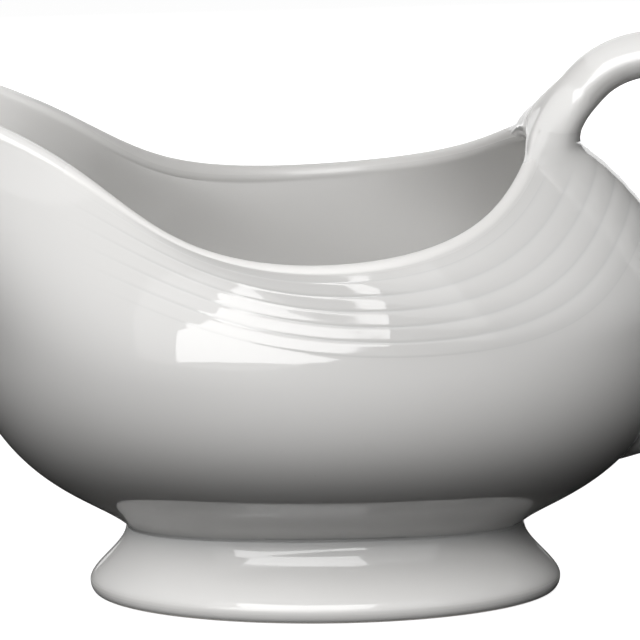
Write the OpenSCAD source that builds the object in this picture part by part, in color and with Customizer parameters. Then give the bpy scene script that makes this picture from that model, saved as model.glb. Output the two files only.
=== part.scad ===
// Gravy boat: a slip-cast bowl with a pouring lip, a pedestal foot and a loop handle.
// The three castings are luted together with clay slip. Millimetres, +Z up, the spout
// points to -X and the handle to +X, and the origin lies under the middle of the foot.

/* [Foot] */
// Half length of the oval where the foot meets the bowl
neck_half_length = 38.5; // [35:0.1:42]
// Half width of the oval where the foot meets the bowl
neck_half_width = 24.6; // [22:0.1:28]
// Height of the seat under the bowl, at the two ends of the oval
neck_height = 13.5; // [11:0.1:17]
// How much higher the seat is at the two long sides
neck_side_rise = 1.5; // [0:0.1:2.5]
// How far the foot flares out beyond the neck
foot_flare = 7; // [5.5:0.1:9]
// Height of the foot's widest line
foot_edge_height = 2.3; // [1.6:0.1:3.6]
// Width of the flat ring that the foot stands on
bearing_width = 4; // [2.5:0.1:5]
// Rounding between the widest line and the standing ring
bearing_inset = 1.5; // [0.8:0.1:2.5]
// Width of the foot's wall at its seat
seat_width = 5.5; // [4:0.1:8]

/* [Bowl] */
// Height of the bowl's widest line at the handle
belly_back_z = 57.7; // [53:0.1:61]
// Height of the bowl's widest line at the sides
belly_side_z = 51; // [47:0.1:55]
// Height of the bowl's widest line under the spout
belly_front_z = 51.3; // [47:0.1:56]
// Reach of the belly towards the spout
belly_front = 70.6; // [66:0.1:75]
// Reach of the belly towards the handle
belly_back = 68.5; // [64:0.1:72]
// Half width of the belly
belly_half_width = 57.5; // [54:0.1:62]
// Slope at which the wall leaves the neck, in degrees
neck_slope = 42; // [34:1:48]
// Thickness of the wall and of the rounded lip
wall = 4.2; // [3:0.1:5.5]
// Thickness of the floor in the middle
floor_thickness = 6; // [5:0.1:9]
// How far the underside sinks below the seat inside the foot
base_drop = 3; // [1:0.1:5]

/* [Rim] */
// Rim at the handle: distance behind the foot's centre
rim_handle_x = 39.5; // [36:0.1:43]
// Rim at the handle: height
rim_handle_z = 89; // [86:0.1:92]
// Rim beside the handle: distance behind the foot's centre
rim_back_x = 33; // [30:0.1:36]
// Rim beside the handle: half width
rim_back_y = 31; // [28:0.1:34]
// Rim beside the handle: height
rim_back_z = 82.5; // [79:0.1:86]
// Rim at its widest: distance behind the foot's centre
rim_side_x = 10; // [6:0.1:14]
// Rim at its widest: half width
rim_side_y = 53.5; // [50:0.1:56]
// Rim at its widest: height
rim_side_z = 74.5; // [71:0.1:78]
// Rim at the shoulder: distance in front of the foot's centre
rim_shoulder_x = 25; // [21:0.1:29]
// Rim at the shoulder: half width
rim_shoulder_y = 46.5; // [43:0.1:49]
// Rim at the shoulder: height
rim_shoulder_z = 75.5; // [72:0.1:79]
// Rim at the throat of the spout: distance in front of the foot's centre
rim_throat_x = 51; // [47:0.1:55]
// Rim at the throat of the spout: half width
rim_throat_y = 28; // [25:0.1:31]
// Rim at the throat of the spout: height
rim_throat_z = 90; // [87:0.1:93]
// Rim at the cheek of the spout: distance in front of the foot's centre
rim_cheek_x = 86; // [82:0.1:90]
// Rim at the cheek of the spout: half width
rim_cheek_y = 18; // [15:0.1:21]
// Rim at the cheek of the spout: height
rim_cheek_z = 101.5; // [98:0.1:105]
// Rim at the tip of the spout: distance in front of the foot's centre
rim_tip_x = 101.1; // [97:0.1:105]
// Rim at the tip of the spout: height
rim_tip_z = 101.5; // [98:0.1:105]

/* [Lean of the wall] */
// Outward lean at the rim at the handle, in degrees
lean_handle = -71; // [-78:1:-62]
// Outward lean at the rim beside the handle, in degrees
lean_back = -49; // [-56:1:-40]
// Outward lean at the rim where it is widest, in degrees
lean_side = -20; // [-28:1:-12]
// Outward lean at the rim at the shoulder, in degrees
lean_shoulder = -36; // [-44:1:-26]
// Outward lean at the rim at the throat, in degrees
lean_throat = -14; // [-22:1:-4]
// Outward lean at the rim at the cheek, in degrees
lean_cheek = 34; // [26:1:42]
// Outward lean at the rim at the tip of the spout, in degrees
lean_tip = 52; // [44:1:58]
// Outward lean of the belly under the spout, in degrees
lean_belly = 11; // [5:1:16]

/* [Bands] */
// Number of raised bands that run round below the rim
band_count = 5; // [3:1:6]
// Spacing of the bands, measured down the wall
band_pitch = 4.6; // [3.5:0.1:5.5]
// Distance from the lip to the first band
band_start = 2.6; // [2:0.1:4]
// How far the bands stand out
band_relief = 0.08; // [0.04:0.01:0.3]

/* [Handle] */
// Reach of the handle behind the foot's centre
handle_reach = 101.5; // [97:0.1:107]
// Height of the top of the handle
handle_top = 108.4; // [105:0.1:113]
// Distance of the handle's crest behind the foot's centre
crest_x = 66; // [63:0.1:71]
// Height of the handle's outermost line
handle_middle_z = 71; // [66:0.1:76]
// Thickness of the handle
handle_thickness = 8.8; // [7:0.1:10]
// Width of the handle
handle_width = 12.5; // [10:0.1:15]
// How far the handle's upper seat reaches over the lip, from the lip's outer edge
upper_seat_over = 4.4; // [3.6:0.1:5.2]
// How far the handle's upper seat reaches down the wall, from the lip's outer edge
upper_seat_down = 7.2; // [6:0.1:9]
// Width of the handle's upper seat
upper_seat_width = 30; // [25:0.1:34]
// Length of the handle's lower seat, down the wall
lower_seat_length = 16; // [13:0.1:19]
// Width of the handle's lower seat
lower_seat_width = 14.5; // [12:0.1:17]
// Height of the middle of the lower seat
lower_seat_z = 31; // [29:0.1:35]

/* [Slip joints] */
// Thickness of the luting slip
slip_thickness = 0.6; // [0.4:0.1:1.2]
// Length of the slip fillet along the handle
slip_rise = 4; // [2:0.1:5]
// Spread of the slip fillet up and down the wall
slip_spread = 2.5; // [1.5:0.1:3.5]
// Spread of the slip fillet to the handle's sides
slip_side_spread = 5; // [3:0.1:6]
// Clearance under the slip, where it follows the curved wall
seat_clearance = 0.05; // [0.02:0.01:0.1]

/* [Hidden] */

glaze_white = [0.87, 0.87, 0.86];
slip_white = [0.83, 0.83, 0.81];

// Facets round the bowl, and rows of facets on each stretch of its wall
columns = 72;
rows_per_band = 4;
rows_below_bands = 9;
rows_on_lip = 5;
rows_inside = 18;
// Rows of facets on each stretch of the foot
rows_on_flare = 7;
rows_on_edge = 3;
rows_in_hollow = 4;
// Facets round the handle, and rows of facets on each stretch of it
ring_facets = 32;
rows_per_root = 5;
rows_per_bend = 9;

up = [0, 0, 1];
across = [0, 1, 0];
full_turn = 360;
round_steps = [for (i = [0 : columns - 1]) full_turn * i / columns];

// Small helpers

function unit(v) = v / norm(v);
function sum(v) = v * [for (x = v) 1];
function ease(x) = let (c = min(max(x, 0), 1)) c * c * (3 - 2 * c);
function bezier(a, b, c, d, s) =
    a * pow(1 - s, 3) + b * 3 * s * pow(1 - s, 2) + c * 3 * s * s * (1 - s) + d * pow(s, 3);

// A smooth closed curve through stations at equal steps from the handle (0) to the spout (180).
// Both sides of the boat are alike, so lengths and heights are cosine series, widths sine series.
function is_end(j, last) = j == 0 || j == last;
function cosine_terms(v) = let (m = len(v) - 1)
    [for (k = [0 : m]) (is_end(k, m) ? 1 : 2) / m
        * sum([for (j = [0 : m]) (is_end(j, m) ? 0.5 : 1) * v[j] * cos(180 * k * j / m)])];
function sine_terms(v) = let (m = len(v) - 1)
    [for (k = [0 : m]) 2 / m * sum([for (j = [0 : m]) v[j] * sin(180 * k * j / m)])];
function cosine_curve(terms, t) = sum([for (k = [0 : len(terms) - 1]) terms[k] * cos(k * t)]);
function sine_curve(terms, t) = sum([for (k = [0 : len(terms) - 1]) terms[k] * sin(k * t)]);

rim_x_terms = cosine_terms([rim_handle_x, rim_back_x, rim_side_x,
                            -rim_shoulder_x, -rim_throat_x, -rim_cheek_x, -rim_tip_x]);
rim_y_terms = sine_terms([0, rim_back_y, rim_side_y, rim_shoulder_y, rim_throat_y, rim_cheek_y, 0]);
rim_z_terms = cosine_terms([rim_handle_z, rim_back_z, rim_side_z,
                            rim_shoulder_z, rim_throat_z, rim_cheek_z, rim_tip_z]);
lean_terms = cosine_terms([lean_handle, lean_back, lean_side,
                           lean_shoulder, lean_throat, lean_cheek, lean_tip]);
belly_z_terms = cosine_terms([belly_back_z, belly_side_z, belly_front_z]);

// Point of the neck oval, moved out square to it by grow
function neck_point(t, grow, z) =
    [neck_half_length * cos(t), neck_half_width * sin(t), z]
        + unit([neck_half_width * cos(t), neck_half_length * sin(t), 0]) * grow;

// The seat between the bowl and the foot is a little higher at the long sides
function neck_z(t) = neck_height + neck_side_rise * pow(sin(t), 2);

// The wall: each column of the bowl climbs from the neck over the belly to the lip

belly_half_length = (belly_front + belly_back) / 2;
function belly_point(t, inset) =
    [(belly_back - belly_front) / 2 + (belly_half_length - inset) * cos(t),
     (belly_half_width - inset) * sin(t), cosine_curve(belly_z_terms, t)];
function outward(t) = unit([cos(t) / belly_half_length, sin(t) / belly_half_width, 0]);
function sideways(t) = cross(up, outward(t));
// The wall stands upright on the belly line, except under the spout, where it leans out
function belly_up(t) =
    let (a = lean_belly * pow((1 - cos(t)) / 2, 2)) up * cos(a) + outward(t) * sin(a);
function rim_point(t) =
    [cosine_curve(rim_x_terms, t), sine_curve(rim_y_terms, t), cosine_curve(rim_z_terms, t)];
function lean(t) = cosine_curve(lean_terms, t);
function lip_along(t) = up * cos(lean(t)) + outward(t) * sin(lean(t));
function lip_across(t) = outward(t) * cos(lean(t)) - up * sin(lean(t));
// Round the lip: 0 is its outer side, 90 its crest and 180 its inner side
function lip_normal(t, a) = lip_across(t) * cos(a) + lip_along(t) * sin(a);
function lip_point(t, a) = rim_point(t) + (lip_normal(t, a) - lip_along(t)) * wall / 2;

// Fullness of the curves below and above the belly
low_pull = [0.31, 0.76];
high_pull = 0.357;

function low_curve(t, s) =
    let (n = neck_point(t, 0, neck_z(t)), b = belly_point(t, 0),
         run = [b.x - n.x, b.y - n.y, 0],
         leave = (unit(run) * cos(neck_slope) + up * sin(neck_slope)) * norm(run) * low_pull[0])
    bezier(n, n + leave, b - belly_up(t) * (b.z - n.z) * low_pull[1], b, s);
function high_curve(t, b, r, s) =
    let (rise = r.z - b.z, drift = sideways(t) * ((r - b) * sideways(t)))
    bezier(b, b + (belly_up(t) * rise + drift) * high_pull,
           r - (lip_along(t) * rise + drift) * high_pull, r, s);
// Steps 0 to 1 run from the lip down to the belly, steps 1 to 2 on down to the neck
function outer_curve(t, s) =
    s < 1 ? high_curve(t, belly_point(t, 0), lip_point(t, 0), 1 - s) : low_curve(t, 2 - s);

// Table from distance below the lip to step, so that bands can follow the lip at a set distance
curve_steps = 48;
function running_length(points, i = 0, so_far = 0) =
    i >= len(points) - 1 ? [so_far]
        : concat([so_far], running_length(points, i + 1, so_far + norm(points[i + 1] - points[i])));
function distance_table(t) =
    let (steps = [for (i = [0 : curve_steps]) 2 * i / curve_steps],
         lengths = running_length([for (s = steps) outer_curve(t, s)]))
    [for (i = [0 : curve_steps]) [lengths[i], steps[i]]];
function table_length(table) = table[len(table) - 1][0];

function wall_normal(t, s) =
    let (reach = 0.02, rise = outer_curve(t, max(s - reach, 0)) - outer_curve(t, min(s + reach, 2)),
         climb = unit([rise * outward(t), rise.z]))
    outward(t) * climb[1] - up * climb[0];
// Point on the outside of the wall, a distance below the lip, raised off the wall by lift
function wall_point(t, distance, table, lift = 0) =
    let (s = lookup(distance, table)) outer_curve(t, s) + wall_normal(t, s) * lift;

// Like wall_point, but a distance below zero runs over the lip towards the inside
function skin_point(t, distance, table, lift) =
    let (a = min(-distance / (wall / 2) * full_turn / (2 * PI), full_turn / 2))
    distance < 0 ? lip_point(t, a) + lip_normal(t, a) * lift : wall_point(t, distance, table, lift);

// Bands fade out between these two angles on their way to the spout, and round the handle's slip
band_fade = [95, 125];
slip_fade = 0.35;
// Rounding of the valleys between the bands
valley_softness = 0.2;
function band_height(t, distance) =
    let (place = distance - band_start, turn = acos(cos(t)),
         from_slip = norm([belly_half_width * sin(t) / (upper_seat_width / 2 + slip_side_spread),
                           (distance - upper_seat_middle) / (upper_seat_reach[1] + slip_spread)]),
         fade = ease((band_fade[1] - turn) / (band_fade[1] - band_fade[0]))
             * ease((from_slip - 1) / slip_fade),
         crown = norm([sin(180 * place / band_pitch), valley_softness]) - valley_softness)
    place <= 0 || place >= band_count * band_pitch ? 0 : band_relief * fade * crown;

// The inside of the bowl, from the lip down to the middle of the floor

base_z = neck_height - base_drop;
floor_z = base_z + floor_thickness;
floor_pull = [0.58, 0.6];
function inner_curve(t, s) =
    let (b = belly_point(t, wall), middle = [0, 0, floor_z], run = [b.x, b.y, 0])
    s < 1 ? high_curve(t, b, lip_point(t, 180), 1 - s)
          : bezier(middle, middle + run * floor_pull[0],
                   b - belly_up(t) * (b.z - floor_z) * floor_pull[1], b, 2 - s);

// A closed skin through rows of points that each run once round it

function row_faces(n, r, next_r) = [for (c = [0 : n - 1]) each
    [[r * n + c, next_r * n + c, next_r * n + (c + 1) % n],
     [r * n + c, next_r * n + (c + 1) % n, r * n + (c + 1) % n]]];

// Open at the middle, like a ring: the last row joins the first
module ring_loft(rows) {
    n = len(rows[0]);
    count = len(rows);
    polyhedron(points = [for (row = rows) each row],
               faces = [for (r = [0 : count - 1]) each row_faces(n, r, (r + 1) % count)],
               convexity = 8);
}

// Closed at both ends by a pole
module loft(first_pole, rows, last_pole) {
    n = len(rows[0]);
    count = len(rows);
    first = n * count;
    last_row = n * (count - 1);
    polyhedron(points = concat([for (row = rows) each row], [first_pole, last_pole]),
               faces = concat([for (r = [0 : count - 2]) each row_faces(n, r, r + 1)],
                   [for (c = [0 : n - 1]) [first, c, (c + 1) % n]],
                   [for (c = [0 : n - 1]) [first + 1, last_row + (c + 1) % n, last_row + c]]),
               convexity = 8);
}

function transpose(m) = [for (i = [0 : len(m[0]) - 1]) [for (row = m) row[i]]];

// Distances below the lip where the banded zone has its rows
band_end = band_start + band_count * band_pitch;
band_rows = concat([band_start / 2], [for (i = [0 : band_count * rows_per_band])
    band_start + i * band_pitch / rows_per_band]);

// Shares of the way from the middle of the underside to the seat where it has its rows
base_shares = [0.4, 0.75, 1];

// All the points of one column, from under the bowl over the lip to its floor
function bowl_column(t) =
    let (table = distance_table(t), foot_end = table_length(table),
         below = [for (i = [1 : rows_below_bands])
             band_end + (foot_end - band_end) * i / rows_below_bands])
    concat(
        [for (share = base_shares)
            let (p = neck_point(t, -seat_width, 0) * share)
                [p.x, p.y, base_z + (neck_z(t) - base_z) * share * share]],
        [for (i = [rows_below_bands - 1 : -1 : 0]) wall_point(t, below[i], table)],
        [for (i = [len(band_rows) - 1 : -1 : 0])
            wall_point(t, band_rows[i], table, band_height(t, band_rows[i]))],
        [for (i = [0 : rows_on_lip]) lip_point(t, full_turn / 2 * i / rows_on_lip)],
        [for (i = [1 : rows_inside - 1]) inner_curve(t, 2 * i / rows_inside)]);

module bowl() {
    color(glaze_white)
        loft([0, 0, base_z], transpose([for (t = round_steps) bowl_column(-t)]), [0, 0, floor_z]);
}

// The foot and its slip: profiles of [offset from the neck oval, height], carried round it

bearing_outer = foot_flare - bearing_inset;
bearing_inner = bearing_outer - bearing_width;
bearing_chamfer = 0.8;
widest = [foot_flare, foot_edge_height];
stand_edge = [bearing_outer, 0];
hollow_edge = [bearing_inner - bearing_chamfer / 2, bearing_chamfer];

// The flare starts upright and turns outward: late at the long sides and early at the ends
flare_start_side = 0.6;
flare_start_end = 0.36;
flare_end = 0.75;
// Fullness of the rounded edge, and of the hollow's wall at its foot and its top
edge_pull = [0.55, 0.55];
hollow_pull = [0.37, 0.45];
hollow_lean = [-0.2, 1];

function foot_top(t) = neck_z(t) - slip_thickness;
function profile_curve(a, b, c, d, steps) = [for (i = [1 : steps]) bezier(a, b, c, d, i / steps)];
// Down the outside from the neck, round the edge, across the standing ring and up the hollow
function foot_profile(t) =
    let (top = foot_top(t), drop = top - foot_edge_height,
         start = flare_start_side + (flare_start_end - flare_start_side) * pow(cos(t), 2),
         neck_edge = [0, top], hollow_top = [-seat_width, top])
    concat(
        [neck_edge],
        profile_curve(neck_edge, [0, top - drop * start], [foot_flare, top - drop * flare_end],
                      widest, rows_on_flare),
        profile_curve(widest, [foot_flare, foot_edge_height * (1 - edge_pull[0])],
                      [bearing_outer + bearing_inset * edge_pull[1], 0], stand_edge, rows_on_edge),
        [[bearing_inner, 0], hollow_edge],
        profile_curve(hollow_edge, hollow_edge + [hollow_lean[0], top * hollow_pull[0]],
                      hollow_top + [hollow_lean[1], -top * hollow_pull[1]],
                      hollow_top, rows_in_hollow));

module pedestal_foot() {
    color(glaze_white)
        ring_loft(transpose([for (t = round_steps) [for (p = foot_profile(t)) neck_point(t, p.x, p.y)]]));
}

// The slip stands back a little from both edges of the seat
slip_setback = 0.3;
function slip_profile(t) =
    [[-slip_setback, neck_z(t)], [-slip_setback, foot_top(t)],
     [slip_setback - seat_width, foot_top(t)], [slip_setback - seat_width, neck_z(t)]];

module foot_slip_joint() {
    color(slip_white)
        ring_loft(transpose([for (t = round_steps) [for (p = slip_profile(t)) neck_point(t, p.x, p.y)]]));
}

// The handle: a loop in the XZ plane with an oval section, flared out onto two seats on the wall

back_table = distance_table(0);
function distance_at_height(z, low, high, n = 24) =
    let (middle = (low + high) / 2)
    n == 0 ? middle
        : wall_point(0, middle, back_table).z > z ? distance_at_height(z, middle, high, n - 1)
                                                  : distance_at_height(z, low, middle, n - 1);
lower_seat_middle = distance_at_height(lower_seat_z, 0, table_length(back_table));
// The upper seat is widest a third of the wall's thickness over the lip's outer edge
upper_seat_middle = -wall / 3;
// Reach of each seat from its widest line, on the handle's outer side and on its inner side
upper_seat_reach = [upper_seat_over + upper_seat_middle, upper_seat_down - upper_seat_middle];
lower_seat_reach = [lower_seat_length / 2, lower_seat_length / 2];
// Slant at which a root leaves its seat, off square: at its sides, its outer and its inner face
upper_slants = [72, 84, 25];
lower_slants = [55, 60, 5];

// A seat is an oval drawn on the wall: its widest line (distance below the lip), its width, its
// reach, which way down the wall the handle's outer side lies, and the slants of its root
upper_seat = [upper_seat_middle, upper_seat_width, upper_seat_reach, -1, upper_slants];
lower_seat = [lower_seat_middle, lower_seat_width, lower_seat_reach, 1, lower_slants];
// Point of a seat at an angle round it, at a share of its size, lifted off the wall. A spread of 0
// lies on the seat's own edge and a spread of 1 where the slip ends
function seat_point(seat, angle, share, spread, lift) =
    let (y = cos(angle) * (share * seat[1] / 2 + spread * slip_side_spread),
         reach = seat[2][sin(angle) > 0 ? 0 : 1],
         along = sin(angle) * (share * reach + spread * slip_spread),
         t = asin(y / belly_half_width))
    skin_point(t, seat[0] + seat[3] * along, distance_table(t), lift);

half_thickness = handle_thickness / 2;
crest = [crest_x, 0, handle_top - half_thickness];
outermost = [handle_reach - half_thickness, 0, handle_middle_z];
// Where the loop starts, off the rim, and ends, off the lower seat, in handle thicknesses
leave_offset = [0.875, 0, 0.534];
arrive_offset = [1.02, 0, 0.34];
leave_point = [rim_handle_x, 0, rim_handle_z] + leave_offset * handle_thickness;
arrive_point = wall_point(0, lower_seat_middle, back_table) + arrive_offset * handle_thickness;
// Its slope at both ends
leave_angle = 61;
arrive_angle = 204;
// How far each bend keeps to its way at its start and its end, as shares of its size
rise_pull = [0.392, 0.415];
over_pull = [0.56, 0.55];
fall_pull = [0.62, 0.38];

function heading(a) = [cos(a), 0, sin(a)];
rise_size = norm(crest - leave_point);
fall_size = outermost.z - arrive_point.z;
// The three bends of the loop, each with the slopes and the pulls of its ends
bends = [
    [leave_point, leave_angle, rise_size * rise_pull[0], crest, 0, rise_size * rise_pull[1]],
    [crest, 0, (outermost.x - crest.x) * over_pull[0],
     outermost, -90, (crest.z - outermost.z) * over_pull[1]],
    [outermost, -90, fall_size * fall_pull[0], arrive_point, arrive_angle, fall_size * fall_pull[1]]];
function bend_point(b, s) =
    bezier(b[0], b[0] + heading(b[1]) * b[2], b[3] - heading(b[4]) * b[5], b[3], s);
small_step = 0.01;
function bend_way(b, s) =
    unit(bend_point(b, min(s + small_step, 1)) - bend_point(b, max(s - small_step, 0)));

ring_angles = [for (i = [0 : ring_facets - 1]) -full_turn * i / ring_facets];
// The outer and inner faces of the handle are a little ridged
section_ridge = 0.2;
function section_point(middle, way, angle) =
    middle + [-way.z, 0, way.x] * sin(angle) * pow(abs(sin(angle)), section_ridge) * half_thickness
        + across * cos(angle) * handle_width / 2;
// A ring of the plain handle; slide moves its side points round towards the outer face
function section(b, s, slide = 0) =
    [for (a = ring_angles) section_point(bend_point(b, s), bend_way(b, s), a + slide * cos(a))];

// Rows of a root, from the seat to the plain section: where each point leaves the wall depends on
// the slants, so that the root flares out at its sides and flows off the lip
root_pull = [0.4, 0.26];
inward_spread = -0.1;
function seat_ring(seat, share, spread, lift) =
    [for (a = ring_angles) seat_point(seat, a, share, spread, lift)];
function slant(seat, a) =
    seat[4][0] * pow(cos(a), 2) + seat[4][sin(a) > 0 ? 1 : 2] * pow(sin(a), 2);
function root_rows(seat, end_section, way, s_list) =
    let (ring = seat_ring(seat, 1, 0, slip_lift), raised = seat_ring(seat, 1, 0, slip_lift + 1),
         inside = seat_ring(seat, 1, inward_spread, slip_lift))
    [for (s = s_list) [for (i = [0 : ring_facets - 1])
        let (gap = norm(end_section[i] - ring[i]), lean = slant(seat, ring_angles[i]),
             leave = unit(raised[i] - ring[i]) * cos(lean) + unit(inside[i] - ring[i]) * sin(lean))
        bezier(ring[i], ring[i] + leave * gap * root_pull[0],
               end_section[i] - way * gap * root_pull[1], end_section[i], s)]];

slip_lift = slip_thickness + seat_clearance;
// The upper root takes up this share of the first bend, where the rim's crest runs into the outer face
root_share = 0.2;
root_slide = 40;
first_section = section(bends[0], root_share, root_slide);
last_section = section(bends[2], 1);
// The slip fillet climbs this share of each root
upper_share = slip_rise / norm(first_section[0] - seat_point(upper_seat, 0, 1, 0, slip_lift));
lower_share = slip_rise / norm(last_section[0] - seat_point(lower_seat, 0, 1, 0, slip_lift));
function root_steps(share) = concat([0, share],
    [for (i = [1 : rows_per_root - 1]) share + (1 - share) * i / rows_per_root]);
upper_root = root_rows(upper_seat, first_section, bend_way(bends[0], root_share), root_steps(upper_share));
lower_root = root_rows(lower_seat, last_section, -bend_way(bends[2], 1), root_steps(lower_share));

loop_rows = concat(
    [for (i = [0 : rows_per_bend - 1])
        let (left = 1 - i / rows_per_bend) section(bends[0], 1 - (1 - root_share) * left, root_slide * left)],
    [for (bend = [1, 2], i = [0 : rows_per_bend - 1]) section(bends[bend], i / rows_per_bend)],
    [last_section]);

function reverse(v) = [for (i = [len(v) - 1 : -1 : 0]) v[i]];
function seat_centre(seat, lift) = skin_point(0, seat[0], back_table, lift);
cap_share = 0.5;

module handle() {
    color(glaze_white)
        loft(seat_centre(upper_seat, slip_lift),
             concat([seat_ring(upper_seat, cap_share, 0, slip_lift)], upper_root, loop_rows,
                    reverse(lower_root), [seat_ring(lower_seat, cap_share, 0, slip_lift)]),
             seat_centre(lower_seat, slip_lift));
}

// Luting slip under a root: a pad on the wall whose squeezed-out edge is smoothed into a fillet

// How far the fillet draws in towards the seat's edge, and where it has its rows
fillet_pull = 0.6;
fillet_steps = [0.33, 0.67];
// Height of the bead of slip over the edge of a root that leaves its seat at a flat slant
slip_bead = 1.5 * slip_thickness;

module slip_pad(seat, root) {
    edge = root[0];
    top = root[1];
    wall_edge = seat_ring(seat, 1, 0, seat_clearance);
    skirt = seat_ring(seat, 1, 1, seat_clearance);
    fillet = [for (s = fillet_steps) [for (i = [0 : ring_facets - 1])
        let (bead = slip_bead * pow(sin(slant(seat, ring_angles[i])), 2) * 4 * s * (1 - s))
        bezier(skirt[i], skirt[i] + (edge[i] - skirt[i]) * fillet_pull,
               top[i] + (edge[i] - top[i]) * fillet_pull, top[i], s)
            + unit(edge[i] - wall_edge[i]) * bead]];
    wall_pole = seat_centre(seat, seat_clearance);
    cap_pole = seat_centre(seat, slip_lift);
    rows = concat([seat_ring(seat, cap_share, 0, seat_clearance), wall_edge, skirt], fillet,
                  [top, edge, seat_ring(seat, cap_share, 0, slip_lift)]);
    if (seat[3] < 0) loft(wall_pole, rows, cap_pole);
    else loft(cap_pole, reverse(rows), wall_pole);
}

module upper_slip_joint() {
    color(slip_white) slip_pad(upper_seat, upper_root);
}

module lower_slip_joint() {
    color(slip_white) slip_pad(lower_seat, lower_root);
}

bowl();
pedestal_foot();
foot_slip_joint();
handle();
upper_slip_joint();
lower_slip_joint();
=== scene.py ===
"""Looks of the gravy boat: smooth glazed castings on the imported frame, under soft studio light."""
import math
from collections import namedtuple

import bpy
import numpy as np
from mathutils import Euler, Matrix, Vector


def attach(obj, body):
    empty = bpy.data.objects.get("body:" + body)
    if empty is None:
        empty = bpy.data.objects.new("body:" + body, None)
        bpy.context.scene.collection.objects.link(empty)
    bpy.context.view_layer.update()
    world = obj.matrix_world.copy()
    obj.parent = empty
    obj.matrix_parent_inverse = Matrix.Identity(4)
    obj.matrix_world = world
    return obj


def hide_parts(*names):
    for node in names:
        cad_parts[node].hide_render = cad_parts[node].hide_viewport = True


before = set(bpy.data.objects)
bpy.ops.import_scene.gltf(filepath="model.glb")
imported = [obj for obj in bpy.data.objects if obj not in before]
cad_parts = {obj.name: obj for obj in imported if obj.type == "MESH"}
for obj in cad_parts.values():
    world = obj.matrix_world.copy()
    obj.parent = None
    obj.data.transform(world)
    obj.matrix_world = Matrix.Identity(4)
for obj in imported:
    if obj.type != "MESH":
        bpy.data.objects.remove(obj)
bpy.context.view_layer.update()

MM = 0.001
BODY = "root"
UP = np.array([0.0, 0.0, 1.0])
ACROSS = np.array([0.0, 1.0, 0.0])
LEVEL = np.array([1.0, 1.0, 0.0])

# Sizes in millimetres. They are the part's own, to a few hundredths, except for the bands' fades and
# grooves and for the spout's tip, which is 0.1 mm less. The tip and the belly's half width, which is
# 0.05 mm less, keep this finer skin inside the box of the faceted solids.

NECK_HALF_LENGTH, NECK_HALF_WIDTH, NECK_HEIGHT, NECK_SIDE_RISE = 38.5, 24.6, 13.5, 1.5
FOOT_FLARE, FOOT_EDGE_HEIGHT = 7.0, 2.3
FLARE_START_SIDE, FLARE_START_END, FLARE_END = 0.6, 0.36, 0.75
BEARING_WIDTH, BEARING_INSET, BEARING_CHAMFER = 4.0, 1.5, 0.8
SEAT_WIDTH = 5.5
BELLY_Z = (57.7, 51.0, 51.3)
BELLY_FRONT, BELLY_BACK, BELLY_HALF_WIDTH = 70.6, 68.5, 57.45
NECK_SLOPE = math.radians(42)
WALL, FLOOR_THICKNESS, BASE_DROP = 4.2, 6.0, 3.0
# Stations round the rim, from the handle to the spout; the wall leans out there by LEAN degrees
RIM_X = (39.5, 33.0, 10.0, -25.0, -51.0, -86.0, -101.0)
RIM_Y = (0.0, 31.0, 53.5, 46.5, 28.0, 18.0, 0.0)
RIM_Z = (89.0, 82.5, 74.5, 75.5, 90.0, 101.5, 101.5)
LEAN = (-71, -49, -20, -36, -14, 34, 52)
LEAN_BELLY = math.radians(11)
LOW_PULL, HIGH_PULL, FLOOR_PULL = (0.31, 0.76), 0.357, (0.58, 0.6)
# BAND_START and UPPER_SEAT_MIDDLE are distances down the wall from the lip; below zero is over the lip
BAND_COUNT, BAND_PITCH, BAND_START, BAND_RELIEF, VALLEY_SOFTNESS = 5, 4.6, 2.6, 0.08, 0.2
CROWN_FADE, GROOVE_FADE, SLIP_FADE = np.radians((54, 74)), np.radians((100, 124)), 0.35
GROOVE_DEPTH, GROOVE_SPAN, VALLEY_NARROWNESS = 0.03, 0.45, 4
HANDLE_REACH, HANDLE_TOP, CREST_X, HANDLE_MIDDLE_Z = 101.5, 108.4, 66.0, 71.0
HANDLE_THICKNESS, HANDLE_WIDTH, SECTION_RIDGE = 8.8, 12.5, 0.2
UPPER_SEAT_WIDTH, UPPER_SEAT_MIDDLE, UPPER_SEAT_REACH = 30.0, -1.4, (3.0, 8.6)
LOWER_SEAT_WIDTH, LOWER_SEAT_Z, LOWER_SEAT_REACH = 14.5, 31.0, (8.0, 8.0)
SLIP_THICKNESS, SLIP_RISE, SLIP_SPREAD, SLIP_SIDE_SPREAD = 0.6, 4.0, 2.5, 5.0


# Curves

def unit(v):
    return v / np.linalg.norm(v, axis=-1, keepdims=True)


def dot(a, b):
    return np.sum(a * b, axis=-1, keepdims=True)


def ease(x):
    c = np.clip(x, 0.0, 1.0)
    return c * c * (3 - 2 * c)


def fade_out(x, span):
    """One before the span, zero after it."""
    return ease((span[1] - x) / (span[1] - span[0]))


def bezier(a, b, c, d, s):
    s = np.asarray(s, float)[..., None]
    return a * (1 - s) ** 3 + b * 3 * s * (1 - s) ** 2 + c * 3 * s * s * (1 - s) + d * s ** 3


def cosine_terms(stations):
    v = np.array(stations, float)
    last = len(v) - 1
    j = np.arange(last + 1)
    weight = np.where((j == 0) | (j == last), 0.5, 1.0)
    share = 2 * weight / last
    return [share[k] * np.sum(weight * v * np.cos(np.pi * k * j / last)) for k in j]


def sine_terms(stations):
    v = np.array(stations, float)
    last = len(v) - 1
    j = np.arange(last + 1)
    return [2 / last * np.sum(v * np.sin(np.pi * k * j / last)) for k in j]


def cosine_curve(terms, t):
    return sum(term * np.cos(k * t) for k, term in enumerate(terms))


def sine_curve(terms, t):
    return sum(term * np.sin(k * t) for k, term in enumerate(terms))


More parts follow.
